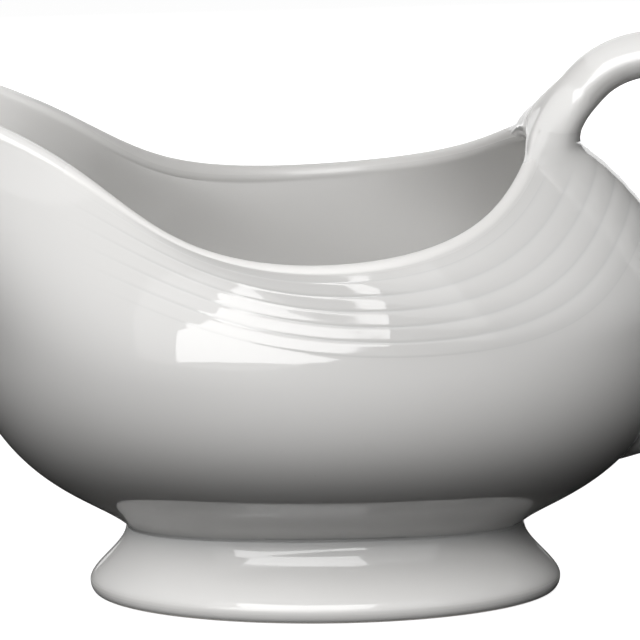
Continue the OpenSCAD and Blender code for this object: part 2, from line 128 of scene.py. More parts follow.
RIM_X_TERMS, RIM_Y_TERMS, RIM_Z_TERMS = cosine_terms(RIM_X), sine_terms(RIM_Y), cosine_terms(RIM_Z)
LEAN_TERMS = cosine_terms(np.radians(LEAN))
BELLY_Z_TERMS = cosine_terms(BELLY_Z)
BELLY_HALF_LENGTH = (BELLY_FRONT + BELLY_BACK) / 2


def point(x, y, z):
    x, y, z = np.broadcast_arrays(x, y, z)
    return np.stack([x, y, z], axis=-1).astype(float)


# The wall of the bowl; t runs round it from the handle (0) to the spout (pi)

def neck_point(t, grow, z):
    way = unit(point(NECK_HALF_WIDTH * np.cos(t), NECK_HALF_LENGTH * np.sin(t), 0.0))
    neck = point(NECK_HALF_LENGTH * np.cos(t), NECK_HALF_WIDTH * np.sin(t), z)
    return neck + way * np.asarray(grow)[..., None]


def neck_z(t):
    return NECK_HEIGHT + NECK_SIDE_RISE * np.sin(t) ** 2


def belly_point(t, inset=0.0):
    return point((BELLY_BACK - BELLY_FRONT) / 2 + (BELLY_HALF_LENGTH - inset) * np.cos(t),
                 (BELLY_HALF_WIDTH - inset) * np.sin(t), cosine_curve(BELLY_Z_TERMS, t))


def outward(t):
    return unit(point(np.cos(t) / BELLY_HALF_LENGTH, np.sin(t) / BELLY_HALF_WIDTH, 0.0))


def belly_up(t):
    a = (LEAN_BELLY * ((1 - np.cos(t)) / 2) ** 2)[..., None]
    return UP * np.cos(a) + outward(t) * np.sin(a)


def lip_along(t):
    lean = cosine_curve(LEAN_TERMS, t)[..., None]
    return UP * np.cos(lean) + outward(t) * np.sin(lean)


def lip_normal(t, a):
    lean = cosine_curve(LEAN_TERMS, t)[..., None]
    across = outward(t) * np.cos(lean) - UP * np.sin(lean)
    a = np.asarray(a, float)[..., None]
    return across * np.cos(a) + lip_along(t) * np.sin(a)


def lip_point(t, a):
    rim = point(cosine_curve(RIM_X_TERMS, t), sine_curve(RIM_Y_TERMS, t), cosine_curve(RIM_Z_TERMS, t))
    return rim + (lip_normal(t, a) - lip_along(t)) * WALL / 2


def low_curve(t, s):
    n, b = neck_point(t, 0 * t, neck_z(t)), belly_point(t)
    run = (b - n) * LEVEL
    reach = np.linalg.norm(run, axis=-1, keepdims=True)
    leave = unit(run) * math.cos(NECK_SLOPE) + UP * math.sin(NECK_SLOPE)
    return bezier(n, n + leave * reach * LOW_PULL[0],
                  b - belly_up(t) * (b - n)[..., 2:] * LOW_PULL[1], b, s)


def high_curve(t, b, r, s):
    rise = (r - b)[..., 2:]
    side = np.cross(UP, outward(t))
    drift = side * dot(r - b, side)
    return bezier(b, b + (belly_up(t) * rise + drift) * HIGH_PULL,
                  r - (lip_along(t) * rise + drift) * HIGH_PULL, r, s)


def outer_curve(t, s):
    """Steps 0 to 1 run from the lip down to the belly, steps 1 to 2 on down to the neck."""
    t, s = np.broadcast_arrays(np.asarray(t, float), np.asarray(s, float))
    high = high_curve(t, belly_point(t), lip_point(t, 0 * t), 1 - np.minimum(s, 1))
    low = low_curve(t, 2 - np.maximum(s, 1))
    return np.where((s < 1)[..., None], high, low)


def inner_curve(t, s):
    t, s = np.broadcast_arrays(np.asarray(t, float), np.asarray(s, float))
    b = belly_point(t, WALL)
    floor_z = NECK_HEIGHT - BASE_DROP + FLOOR_THICKNESS
    middle = point(0 * t, 0 * t, floor_z)
    run = b * LEVEL
    high = high_curve(t, b, lip_point(t, 0 * t + math.pi), 1 - np.minimum(s, 1))
    low = bezier(middle, middle + run * FLOOR_PULL[0],
                 b - belly_up(t) * (b[..., 2:] - floor_z) * FLOOR_PULL[1], b, 2 - np.maximum(s, 1))
    return np.where((s < 1)[..., None], high, low)


CURVE_STEPS, NORMAL_STEP = 400, 1e-3
STEPS = np.linspace(0.0, 2.0, CURVE_STEPS + 1)


def wall_lengths(t):
    """Distance below the lip at each step, for each column t: an array of steps by columns."""
    lines = outer_curve(t[None, :], STEPS[:, None])
    pieces = np.linalg.norm(np.diff(lines, axis=0), axis=-1)
    return np.concatenate([np.zeros((1, len(t))), np.cumsum(pieces, axis=0)])


def wall_normal(t, s):
    round_way = outer_curve(t + NORMAL_STEP, s) - outer_curve(t - NORMAL_STEP, s)
    down_way = (outer_curve(t, np.minimum(s + NORMAL_STEP, 2))
                - outer_curve(t, np.maximum(s - NORMAL_STEP, 0)))
    return unit(np.cross(down_way, round_way))


def wall_point(t, distance, lift=0.0):
    """Points a distance below the lip, raised off the wall by lift.

    distance has one value for each column t, or rows of such columns.
    """
    t = np.asarray(t, float)
    distance = np.broadcast_to(distance, np.broadcast_shapes(np.shape(distance), t.shape))
    lengths = wall_lengths(t)
    s = np.stack([np.interp(distance[..., i], lengths[:, i], STEPS) for i in range(len(t))], axis=-1)
    return outer_curve(t, s) + wall_normal(t, s) * np.broadcast_to(lift, s.shape)[..., None]


def skin_point(t, distance, lift=0.0):
    """Like wall_point, but a distance below zero runs over the lip towards the inside."""
    a = np.clip(-distance / (WALL / 2), 0.0, np.pi)
    over = lip_point(t, a) + lip_normal(t, a) * lift
    return np.where((distance < 0)[..., None], over, wall_point(t, np.maximum(distance, 0.0), lift))


def turn_from_handle(t):
    return np.arccos(np.cos(t))


def band_fade(t, distance, span):
    """Bands fade out over a span of angles on their way to the spout, and round the handle's slip."""
    from_slip = np.hypot(BELLY_HALF_WIDTH * np.sin(t) / (UPPER_SEAT_WIDTH / 2 + SLIP_SIDE_SPREAD),
                         (distance - UPPER_SEAT_MIDDLE) / (UPPER_SEAT_REACH[1] + SLIP_SPREAD))
    return fade_out(turn_from_handle(t), span) * ease((from_slip - 1) / SLIP_FADE)


def band_place(distance):
    """The place counted in bands from the first one's start, and whether a band lies there."""
    place = (distance - BAND_START) / BAND_PITCH
    return place, (place > 0) & (place < BAND_COUNT)


def band_height(t, distance):
    """Rounded bands beside the handle, which flatten towards the spout until only grooves are left."""
    place, on_band = band_place(distance)
    crown = np.hypot(np.sin(np.pi * place), VALLEY_SOFTNESS) - VALLEY_SOFTNESS
    from_groove = np.abs(place - np.round(place)) * BAND_PITCH
    groove = np.exp(-(from_groove / GROOVE_SPAN) ** 2)
    crowned = band_fade(t, distance, CROWN_FADE)
    grooved = band_fade(t, distance, GROOVE_FADE) * (1 - crowned)
    return on_band * (BAND_RELIEF * crowned * crown + GROOVE_DEPTH * grooved * (1 - groove))


def band_valley(t, distance):
    """One at the bottom of the valleys between the bands, and falling off quickly beside it."""
    place, on_band = band_place(distance)
    valley = (1 - np.abs(np.sin(np.pi * place))) ** VALLEY_NARROWNESS
    return on_band * band_fade(t, distance, GROOVE_FADE) * valley


# Meshes

SHARP_ANGLE = math.radians(40)
# The glaze depth attribute also carries shade painted into the hollows
GLAZE_DEPTH_AND_SHADE = "glaze_depth"


def skin_faces(count, n, has_poles):
    """Faces between rows of n points, closed by two poles that follow them or by joining the end rows."""
    sides = [(c, (c + 1) % n) for c in range(n)]
    faces = [(r * n + c, (r + 1) * n + c, (r + 1) * n + d, r * n + d)
             for r in range(count - 1) for c, d in sides]
    last, pole = (count - 1) * n, count * n
    if has_poles:
        return (faces + [(pole, c, d) for c, d in sides]
                + [(pole + 1, last + d, last + c) for c, d in sides])
    return faces + [(last + c, c, d, last + d) for c, d in sides]


def add_mesh(name, rows, node, material, glaze_and_shade=0.0, poles=()):
    """A smooth closed skin through rows of points (millimetres) that each run once round it.

    The glaze and shade level at each point: 1 is pooled glaze painted darker as shade, -1 is glaze drawn
    thin over an edge.
    """
    rows = np.asarray(rows) * MM
    count, n = rows.shape[:2]
    verts = [tuple(p) for row in rows for p in row] + [tuple(np.asarray(pole) * MM) for pole in poles]
    mesh = bpy.data.meshes.new(name)
    mesh.from_pydata(verts, [], skin_faces(count, n, bool(poles)))
    mesh.polygons.foreach_set("use_smooth", [True] * len(mesh.polygons))
    mesh.set_sharp_from_angle(angle=SHARP_ANGLE)
    mesh.update()
    levels = np.zeros(len(verts))
    levels[:count * n] = np.broadcast_to(glaze_and_shade, (count, n)).ravel()
    mesh.attributes.new(GLAZE_DEPTH_AND_SHADE, "FLOAT", "POINT").data.foreach_set("value", levels)
    mesh.materials.append(material)
    piece = bpy.data.objects.new(name, mesh)
    bpy.context.scene.collection.objects.link(piece)
    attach(piece, BODY)
    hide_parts(node)


COLUMNS = 300
AROUND = 2 * np.pi * np.arange(COLUMNS) / COLUMNS
BASE_ROWS, WALL_ROWS, BAND_ROWS, LIP_ROWS, INSIDE_ROWS = 12, 70, 130, 25, 90
FIRST_BAND_ROW = 0.3
BASE_Z = NECK_HEIGHT - BASE_DROP
FLOOR_Z = BASE_Z + FLOOR_THICKNESS
# How the glaze lies, and where shade is painted as pooled glaze: how far the painted shade pools up from
# the seam at the neck, how thin the glaze is on the lip, and how much painted shade pools on the floor
# and in the valleys between the bands
SHADE_POOL_REACH, LIP_THIN, FLOOR_SHADE_POOL, VALLEY_SHADE_POOL = 1.6, 0.8, 0.35, 0.5
LIP_THIN_SPAN, LIP_THIN_REACH = np.radians((105, 130)), 0.8


def bowl_rows(t):
    """Rows of points and of glaze and painted shade levels on the bowl, from the base over the lip to the
    floor.
    """
    rows, glaze_and_shade_depths = [], []
    for share in np.linspace(0, 1, BASE_ROWS + 1)[1:]:
        p = neck_point(t, 0 * t - SEAT_WIDTH, 0.0) * share
        rows.append(point(p[:, 0], p[:, 1], BASE_Z + (neck_z(t) - BASE_Z) * share ** 2))
        glaze_and_shade_depths.append(0 * t)
    band_end = BAND_START + BAND_COUNT * BAND_PITCH
    above_neck = (wall_lengths(t)[-1] - band_end) * np.linspace(0, 1, WALL_ROWS)[:-1, None]
    rows += list(wall_point(t, wall_lengths(t)[-1] - above_neck))
    # Painted shade: the wall darkens as pooled glaze just above the neck's seam, where shade falls in the
    # crease
    glaze_and_shade_depths += list(np.exp(-above_neck / SHADE_POOL_REACH))
    below_lip = np.linspace(band_end, FIRST_BAND_ROW, BAND_ROWS)[:, None]
    rows += list(wall_point(t, below_lip, band_height(t, below_lip)))
    lip_thin = LIP_THIN * fade_out(turn_from_handle(t), LIP_THIN_SPAN)
    # Painted shade in the valleys between the bands, as pooled glaze; the glaze is thin at the lip
    glaze_and_shade_depths += list(VALLEY_SHADE_POOL * band_valley(t, below_lip)
                   - lip_thin * np.exp(-below_lip / LIP_THIN_REACH))
    for a in np.linspace(0.0, np.pi, LIP_ROWS):
        rows.append(lip_point(t, np.full_like(t, a)))
        glaze_and_shade_depths.append(-lip_thin * ease(2 - 2 * a / np.pi))
    for s in np.linspace(0.0, 2.0, INSIDE_ROWS)[1:-1]:
        rows.append(inner_curve(t, np.full_like(t, s)))
        # Painted shade: the inside darkens as pooled glaze towards the bowl's floor
        glaze_and_shade_depths.append(0 * t + FLOOR_SHADE_POOL * ease(s - 1))
    return rows, glaze_and_shade_depths


def make_bowl(material):
    rows, glaze_and_shade_depths = bowl_rows(-AROUND)
    add_mesh("bowl_casting", rows, "bowl", material, glaze_and_shade_depths,
             ((0, 0, BASE_Z), (0, 0, FLOOR_Z)))


# The foot: offsets from the neck and heights of its skin, from the neck down and round to the seat
FLARE_ROWS, EDGE_ROWS, RING_ROWS, CHAMFER_ROWS, HOLLOW_ROWS = 40, 14, 6, 6, 30
EDGE_PULL, HOLLOW_PULL, HOLLOW_LEAN = (0.55, 0.55), (0.37, 0.45), (-0.2, 1.0)
EDGE_THIN, EDGE_SPAN = 0.6, 0.7


def foot_profile(t):
    top = neck_z(t) - SLIP_THICKNESS
    drop = top - FOOT_EDGE_HEIGHT
    bearing_outer = FOOT_FLARE - BEARING_INSET
    bearing_inner = bearing_outer - BEARING_WIDTH
    hollow, chamfer = bearing_inner - BEARING_CHAMFER / 2, BEARING_CHAMFER
    start = FLARE_START_SIDE + (FLARE_START_END - FLARE_START_SIDE) * np.cos(t) ** 2

    def place(offset, height):
        return np.stack([offset + 0 * t, height + 0 * t], axis=-1)

    neck_edge, widest = place(0, top), place(FOOT_FLARE, FOOT_EDGE_HEIGHT)
    stand_edge, ring_edge = place(bearing_outer, 0), place(bearing_inner, 0)
    hollow_edge, seat_edge = place(hollow, chamfer), place(-SEAT_WIDTH, top)
    bends = [
        (neck_edge, place(0, top - drop * start),
         place(FOOT_FLARE, top - drop * FLARE_END), widest, FLARE_ROWS),
        (widest, place(FOOT_FLARE, FOOT_EDGE_HEIGHT * (1 - EDGE_PULL[0])),
         place(bearing_outer + BEARING_INSET * EDGE_PULL[1], 0), stand_edge, EDGE_ROWS),
        (stand_edge, (stand_edge * 2 + ring_edge) / 3,
         (stand_edge + ring_edge * 2) / 3, ring_edge, RING_ROWS),
        (ring_edge, place(hollow, 0), place(hollow, chamfer / 2), hollow_edge, CHAMFER_ROWS),
        (hollow_edge, place(hollow + HOLLOW_LEAN[0], chamfer + top * HOLLOW_PULL[0]),
         place(HOLLOW_LEAN[1] - SEAT_WIDTH, top * (1 - HOLLOW_PULL[1])), seat_edge, HOLLOW_ROWS)]
    rows = [neck_edge]
    for a, b, c, d, steps in bends:
        rows += [bezier(a, b, c, d, np.full(len(t), s)) for s in np.linspace(0, 1, steps + 1)[1:]]
    return rows


def make_foot(material):
    profile = foot_profile(AROUND)
    rows = [neck_point(AROUND, row[:, 0], row[:, 1]) for row in profile]
    # Painted shade: the foot darkens as pooled glaze just below the neck's seam; its glaze is thin at the
    # edge
    glaze_and_shade_depths = [np.exp((row[:, 1] - profile[0][:, 1]) / SHADE_POOL_REACH)
              - EDGE_THIN * np.exp(-((row[:, 1] - FOOT_EDGE_HEIGHT) / EDGE_SPAN) ** 2) for row in profile]
    add_mesh("foot_casting", rows, "pedestal_foot", material, glaze_and_shade_depths)


# The slip stands back this far from the outer and inner edges of the seat; the foot slip in the neck's
# crease is painted all over in the pooled glaze's darker grey, as shade
SLIP_SETBACK_OUT, SLIP_SETBACK_IN, FOOT_SLIP_SHADE_POOL = 0.1, 0.3, 1.0


def make_foot_slip(material):
    outer, inner = -SLIP_SETBACK_OUT, SLIP_SETBACK_IN - SEAT_WIDTH
    half, full = SLIP_THICKNESS / 2, SLIP_THICKNESS
    rows = [neck_point(-AROUND, np.full_like(AROUND, offset), neck_z(-AROUND) - below)
            for offset, below in ((outer, full), (outer, half), (outer, 0), (inner, 0), (inner, full))]
    add_mesh("foot_slip", rows, "foot_slip_joint", material, FOOT_SLIP_SHADE_POOL)


# Handle

def heading(a):
    a = math.radians(a)
    return np.array([math.cos(a), 0.0, math.sin(a)])


def distance_at_height(z):
    back = np.zeros(1)
    heights = outer_curve(back, STEPS[:, None])[:, 0, 2]
    return float(np.interp(-z, -heights, wall_lengths(back)[:, 0]))


# sense is 1 where the handle's outer face lands further down the wall, and -1 where it lands further up;
# slant is how far the root leans in, in degrees, at its sides, at its outer face and at its inner face
Seat = namedtuple("Seat", "middle width reach sense slant")
UPPER_SLANT, LOWER_SLANT = (72, 84, 25), (55, 60, 5)
LOWER_SEAT_MIDDLE = distance_at_height(LOWER_SEAT_Z)
UPPER_SEAT = Seat(UPPER_SEAT_MIDDLE, UPPER_SEAT_WIDTH, UPPER_SEAT_REACH, -1, UPPER_SLANT)
LOWER_SEAT = Seat(LOWER_SEAT_MIDDLE, LOWER_SEAT_WIDTH, LOWER_SEAT_REACH, 1, LOWER_SLANT)
RING = 96
ANGLES = -2 * np.pi * np.arange(RING) / RING


def seat_ring(seat, share, spread, lift):
    """A ring round the seat; spread 1 lies where the slip ends, 0 on the seat's own edge."""
    aside = share * seat.width / 2 + spread * SLIP_SIDE_SPREAD
    t = np.arcsin(np.cos(ANGLES) * aside / BELLY_HALF_WIDTH)
    along = np.sin(ANGLES) * (share * np.where(np.sin(ANGLES) > 0, *seat.reach) + spread * SLIP_SPREAD)
    return skin_point(t, seat.middle + seat.sense * along, lift)


def seat_centre(seat, lift):
    return skin_point(np.zeros(1), np.full(1, seat.middle), lift)[0]


HALF_THICKNESS = HANDLE_THICKNESS / 2
CREST = np.array([CREST_X, 0.0, HANDLE_TOP - HALF_THICKNESS])
OUTERMOST = np.array([HANDLE_REACH - HALF_THICKNESS, 0.0, HANDLE_MIDDLE_Z])
LEAVE_ANGLE, LEVEL_ANGLE, DOWN_ANGLE, ARRIVE_ANGLE = 61, 0, -90, 204
# Where the loop starts, from the rim, and where it ends, from the middle of the lower seat
LEAVE_OFFSET, ARRIVE_OFFSET = np.array([7.7, 0.0, 4.7]), np.array([9.0, 0.0, 3.0])
LEAVE_POINT = np.array([RIM_X[0], 0.0, RIM_Z[0]]) + LEAVE_OFFSET
ARRIVE_POINT = seat_centre(LOWER_SEAT, 0.0) + ARRIVE_OFFSET
# Pulls at the ends of the three bends, in millimetres or as shares of the way out or down
LEAVE_PULL, CREST_PULL, ARRIVE_PULL = 8.4, 8.9, 14
OUT_SHARE, TURN_SHARE, FALL_SHARE = 0.56, 0.55, 0.62
WAY_OUT, WAY_DOWN = OUTERMOST[0] - CREST[0], CREST[2] - OUTERMOST[2]
LAST_FALL = OUTERMOST[2] - ARRIVE_POINT[2]
BENDS = [
    (LEAVE_POINT, LEAVE_ANGLE, LEAVE_PULL, CREST, LEVEL_ANGLE, CREST_PULL),
    (CREST, LEVEL_ANGLE, WAY_OUT * OUT_SHARE, OUTERMOST, DOWN_ANGLE, WAY_DOWN * TURN_SHARE),
    (OUTERMOST, DOWN_ANGLE, LAST_FALL * FALL_SHARE, ARRIVE_POINT, ARRIVE_ANGLE, ARRIVE_PULL)]
BEND_STEP = 0.01


def bend_point(bend, s):
    a, way_a, pull_a, b, way_b, pull_b = bend
    return bezier(a, a + heading(way_a) * pull_a, b - heading(way_b) * pull_b, b, s)


def bend_way(bend, s):
    return unit(bend_point(bend, min(s + BEND_STEP, 1)) - bend_point(bend, max(s - BEND_STEP, 0)))


def section(bend, s, slide=0.0):
    """A ring of the plain handle; slide moves the ring's side points round towards its outer face."""
    middle = bend_point(bend, s)
    angles = ANGLES + slide * np.cos(ANGLES)
    way = bend_way(bend, s)
    out = np.array([-way[2], 0.0, way[0]])
    bulge = np.sin(angles) * np.abs(np.sin(angles)) ** SECTION_RIDGE
    return (middle + bulge[:, None] * out * HALF_THICKNESS
            + np.cos(angles)[:, None] * ACROSS * HANDLE_WIDTH / 2)


ROOT_PULL, ROOT_END_PULL = 0.4, 0.26
ROOT_STEP, INWARD_STEP = 0.2, 0.1
SLIP_LIFT = SLIP_THICKNESS


def slant(seat):
    """How far the root leans in from the wall's normal where it leaves the edge of its seat."""
    side, outer_face, inner_face = np.radians(seat.slant)
    ends = np.where(np.sin(ANGLES) > 0, outer_face, inner_face)
    return (side * np.cos(ANGLES) ** 2 + ends * np.sin(ANGLES) ** 2)[:, None]


def root_rows(seat, end_section, way, steps):
    ring = seat_ring(seat, 1, 0, SLIP_LIFT)
    lift = unit(seat_ring(seat, 1, 0, SLIP_LIFT + 1) - ring)
    inward = unit(seat_ring(seat, 1, -INWARD_STEP, SLIP_LIFT) - ring)
    start = lift * np.cos(slant(seat)) + inward * np.sin(slant(seat))
    gap = np.linalg.norm(end_section - ring, axis=1, keepdims=True)
    return [bezier(ring, ring + start * gap * ROOT_PULL, end_section - way * gap * ROOT_END_PULL,
                   end_section, np.full(RING, s)) for s in steps]


ROOT_SLIDE = math.radians(40)
# The last number paints the handle's slips faintly darker as shade, in the pooled glaze's grey
RIDGE_THIN, RIDGE_NARROWNESS, SLIP_SHADE_POOL = 0.5, 8, 0.03
FIRST_SECTION = section(BENDS[0], ROOT_STEP, ROOT_SLIDE)
LAST_SECTION = section(BENDS[2], 1.0)
UPPER_WAY = bend_way(BENDS[0], ROOT_STEP)
LOWER_WAY = -heading(ARRIVE_ANGLE)
# The seat is closed by a smaller ring and a middle point
ROOT_ROWS, LOOP_ROWS, CAP_SHARE = 25, 61, 0.5


def make_handle(material):
    steps = np.linspace(0, 1, ROOT_ROWS)
    upper = root_rows(UPPER_SEAT, FIRST_SECTION, UPPER_WAY, steps[:-1])
    lower = root_rows(LOWER_SEAT, LAST_SECTION, LOWER_WAY, steps[:-1])
    loop = [section(BENDS[0], s, ROOT_SLIDE * (1 - s) / (1 - ROOT_STEP))
            for s in np.linspace(ROOT_STEP, 1, LOOP_ROWS)[:-1]]
    loop += [section(bend, s) for bend in BENDS[1:] for s in np.linspace(0, 1, LOOP_ROWS)[:-1]]
    rows = ([seat_ring(UPPER_SEAT, CAP_SHARE, 0, SLIP_LIFT)] + upper + loop + [LAST_SECTION]
            + lower[::-1] + [seat_ring(LOWER_SEAT, CAP_SHARE, 0, SLIP_LIFT)])
    glaze_and_shade_depths = -RIDGE_THIN * np.abs(np.sin(ANGLES)) ** RIDGE_NARROWNESS
    add_mesh("handle_casting", rows, "handle", material, glaze_and_shade_depths,
             (seat_centre(UPPER_SEAT, SLIP_LIFT), seat_centre(LOWER_SEAT, SLIP_LIFT)))


FILLET_PULL, FILLET_ROWS = 0.45, 17
SLIP_BEAD = SLIP_THICKNESS / 2


def hump(s):
    """Zero at both ends of the way from 0 to 1 and one in its middle."""
    return (4 * s * (1 - s)) ** 2


def make_slip(name, seat, end_section, way, node, material):
    """A pad of slip whose fillet runs from the wall up the root, with a bead under its outer face."""
    reach = np.linalg.norm(end_section[0] - seat_ring(seat, 1, 0, SLIP_LIFT)[0])
    edge, top = root_rows(seat, end_section, way, [0.0, SLIP_RISE / reach])
    wall_edge, skirt = seat_ring(seat, 1, 0, 0.0), seat_ring(seat, 1, 1, 0.0)
    gap = np.linalg.norm(top - skirt, axis=1, keepdims=True)
    along_wall, down_root = unit(seat_ring(seat, 1, 1 - INWARD_STEP, 0.0) - skirt), unit(edge - top)
    bead = unit(edge - wall_edge) * SLIP_BEAD * np.maximum(np.sin(ANGLES), 0)[:, None]
    fillet = [bezier(skirt, skirt + along_wall * gap * FILLET_PULL, top + down_root * gap * FILLET_PULL,
                     top, np.full(RING, s)) + bead * hump(s)
              for s in np.linspace(0, 1, FILLET_ROWS)]
    rows = ([seat_ring(seat, CAP_SHARE, 0, 0.0), wall_edge] + fillet
            + [edge, seat_ring(seat, CAP_SHARE, 0, SLIP_LIFT)])
    poles = seat_centre(seat, 0.0), seat_centre(seat, SLIP_LIFT)
    if seat.sense > 0:
        rows, poles = rows[::-1], poles[::-1]
    add_mesh(name, rows, node, material, SLIP_SHADE_POOL, poles)


# Material

GLAZE_CLEAR, GLAZE_CLOUDY = (0.735, 0.728, 0.716, 1), (0.708, 0.700, 0.687, 1)
SLIP_CLEAR, SLIP_CLOUDY = (0.733, 0.726, 0.714, 1), (0.706, 0.698, 0.685, 1)
# The pooled glaze colour is a darker grey, painted as shade in hollows and creases
GLAZE_POOLED_SHADE, GLAZE_THIN = (0.60, 0.603, 0.60, 1), (0.71, 0.700, 0.684, 1)
SPECK_COLOUR, BARE_CLAY = (0.20, 0.17, 0.14, 1), (0.64, 0.60, 0.54, 1)
# Texture scales are per metre of the object
CLOUD_SCALE, PEEL_SCALE, SPECK_SCALE, GRAIN_SCALE = 22.0, 260.0, 52.0, 2600.0
CLOUD_DETAIL, FINE_DETAIL, CLOUD_SPAN = 4.0, 2.0, (0.3, 0.7)
SPECK_EDGE, SPECK_CORE, SPECK_SHARE = 0.020, 0.010, 0.62
BARE_EDGE, BARE_FULL = 0.00055, 0.00035
GLOSS_LOW, GLOSS_HIGH, THIN_ROUGHNESS, BARE_ROUGHNESS = 0.02, 0.05, 0.7, 0.85
PEEL_STRENGTH, PEEL_HEIGHT, GLAZE_IOR = 0.12, 0.00005, 1.5


def add_node(tree, kind, inputs, **settings):
    """A shader node with its settings; inputs gives each socket a value or the socket that feeds it."""
    made = tree.nodes.new("ShaderNode" + kind)
    for key, value in settings.items():
        setattr(made, key, value)
    for key, value in inputs.items():
        if isinstance(value, bpy.types.NodeSocket):
            tree.links.new(value, made.inputs[key])
        else:
            made.inputs[key].default_value = value
    return made


def ramp(tree, value, low, high, to_low=0.0, to_high=1.0):
    """A value carried from the span low to high onto the span to_low to to_high, and held at its ends."""
    return add_node(tree, "MapRange", {"Value": value, "From Min": low, "From Max": high,
                                       "To Min": to_low, "To Max": to_high}).outputs["Result"]


def blend(tree, amount, first, second):
    return add_node(tree, "MixRGB", {"Fac": amount, "Color1": first, "Color2": second}).outputs["Color"]


def product(tree, first, second):
    return add_node(tree, "Math", {0: first, 1: second}, operation="MULTIPLY").outputs["Value"]


def larger(tree, first, second):
    return add_node(tree, "Math", {0: first, 1: second}, operation="MAXIMUM").outputs["Value"]


def noise(tree, place, scale, detail):
    return add_node(tree, "TexNoise", {"Vector": place, "Scale": scale, "Detail": detail}).outputs["Fac"]


def make_glaze(name, clear, cloudy):
    """White glaze: cloudy, painted darker as shade in hollows (given as pooled glaze), thin on edges,
    specked, and bare on the standing ring.
    """
    material = bpy.data.materials.new(name)
    material.use_nodes = True
    tree = material.node_tree
    place = add_node(tree, "TexCoord", {}).outputs["Object"]
    glaze_and_shade = add_node(tree, "Attribute", {}, attribute_name=GLAZE_DEPTH_AND_SHADE).outputs["Fac"]
    cloud = noise(tree, place, CLOUD_SCALE, CLOUD_DETAIL)
    peel = noise(tree, place, PEEL_SCALE, FINE_DETAIL)
    grain = noise(tree, place, GRAIN_SCALE, FINE_DETAIL)
    cells = add_node(tree, "TexVoronoi", {"Vector": place, "Scale": SPECK_SCALE})
    chosen = add_node(tree, "SeparateColor", {"Color": cells.outputs["Color"]}).outputs["Red"]
    speck = product(tree, ramp(tree, cells.outputs["Distance"], SPECK_EDGE, SPECK_CORE),
                    ramp(tree, chosen, SPECK_SHARE, 1.0))
    height = add_node(tree, "SeparateXYZ", {"Vector": place}).outputs["Z"]
    bare = ramp(tree, height, BARE_EDGE, BARE_FULL)
    colour = blend(tree, ramp(tree, cloud, *CLOUD_SPAN), clear, cloudy)
    # Painted shade: hollows and creases turn to the pooled glaze's darker grey
    colour = blend(tree, ramp(tree, glaze_and_shade, 0.0, 1.0), colour, GLAZE_POOLED_SHADE)
    colour = blend(tree, ramp(tree, glaze_and_shade, 0.0, -1.0), colour, GLAZE_THIN)
    colour = blend(tree, speck, colour, SPECK_COLOUR)
    colour = blend(tree, bare, colour, blend(tree, grain, BARE_CLAY, GLAZE_THIN))
    gloss = ramp(tree, cloud, *CLOUD_SPAN, GLOSS_LOW, GLOSS_HIGH)
    rough = ramp(tree, bare, 0.0, 1.0, 0.0, BARE_ROUGHNESS)
    worn = ramp(tree, glaze_and_shade, 0.0, -1.0, 0.0, THIN_ROUGHNESS)
    roughness = larger(tree, gloss, larger(tree, worn, rough))
    bump = add_node(tree, "Bump", {"Strength": PEEL_STRENGTH, "Distance": PEEL_HEIGHT, "Height": peel})
    shader = tree.nodes["Principled BSDF"]
    shader.inputs["IOR"].default_value = GLAZE_IOR
    tree.links.new(colour, shader.inputs["Base Color"])
    tree.links.new(roughness, shader.inputs["Roughness"])
    tree.links.new(bump.outputs["Normal"], shader.inputs["Normal"])
    return material


# Stage, light and camera

WHITE, CARD_ROUGHNESS, UPRIGHT = (1, 1, 1, 1), 0.9, math.pi / 2
FLOOR_SIZE, FLOOR_GAP, FLOOR_COLOUR, FLOOR_GLOW = 8.0, 0.0001, (0.5, 0.5, 0.5), 0.92
FLAG_COLOUR, FLOOR_FLAG_SIZE, FLOOR_FLAG_HEIGHT = (0.02, 0.02, 0.02), (1.6, 1.2), 0.0004
SIDE_FLAG_SIZE, SIDE_FLAG_ASIDE, SIDE_FLAG_BACK, SIDE_FLAG_HEIGHT = (2.0, 0.9), 0.55, 0.5, 0.35
GOBO_SIZE, GOBO_PLACE = (0.075, 0.048), (-0.0135, -0.020, 0.088)


def plain_material(name, colour):
    material = bpy.data.materials.new(name)
    material.use_nodes = True
    shader = material.node_tree.nodes["Principled BSDF"]
    shader.inputs["Base Color"].default_value = (*colour, 1)
    shader.inputs["Roughness"].default_value = CARD_ROUGHNESS
    shader.inputs["Specular IOR Level"].default_value = 0.0
    return material


def seen_directly(tree):
    """A value that is 1 for camera, glossy and transmission rays and 0 for light that bounces."""
    path = add_node(tree, "LightPath", {}).outputs
    seen = larger(tree, path["Is Camera Ray"], path["Is Glossy Ray"])
    return larger(tree, seen, path["Is Transmission Ray"])


def make_floor():
    bpy.ops.mesh.primitive_plane_add(size=FLOOR_SIZE, location=(0, 0, -FLOOR_GAP))
    floor = bpy.context.active_object
    floor.name = "studio_floor"
    material = plain_material("studio_floor_white", FLOOR_COLOUR)
    tree = material.node_tree
    shader = tree.nodes["Principled BSDF"]
    shader.inputs["Emission Color"].default_value = WHITE
    glow = product(tree, seen_directly(tree), FLOOR_GLOW)
    tree.links.new(glow, shader.inputs["Emission Strength"])
    floor.data.materials.append(material)


def make_flag(name, size, place, turn, material):
    """A dark studio card that the glaze mirrors; the camera and the shadows pass it by."""
    bpy.ops.mesh.primitive_plane_add(size=1.0, location=place, rotation=turn)
    flag = bpy.context.active_object
    flag.name = name
    flag.scale = (*size, 1)
    flag.visible_camera = False
    flag.visible_shadow = False
    flag.data.materials.append(material)


def make_gobo(material):
    """A small card over the near rim that keeps the key light off the bowl's floor."""
    make_flag("studio_gobo", GOBO_SIZE, GOBO_PLACE, (UPRIGHT, 0, 0), material)
    gobo = bpy.data.objects["studio_gobo"]
    gobo.visible_shadow = True
    gobo.visible_glossy = gobo.visible_diffuse = False


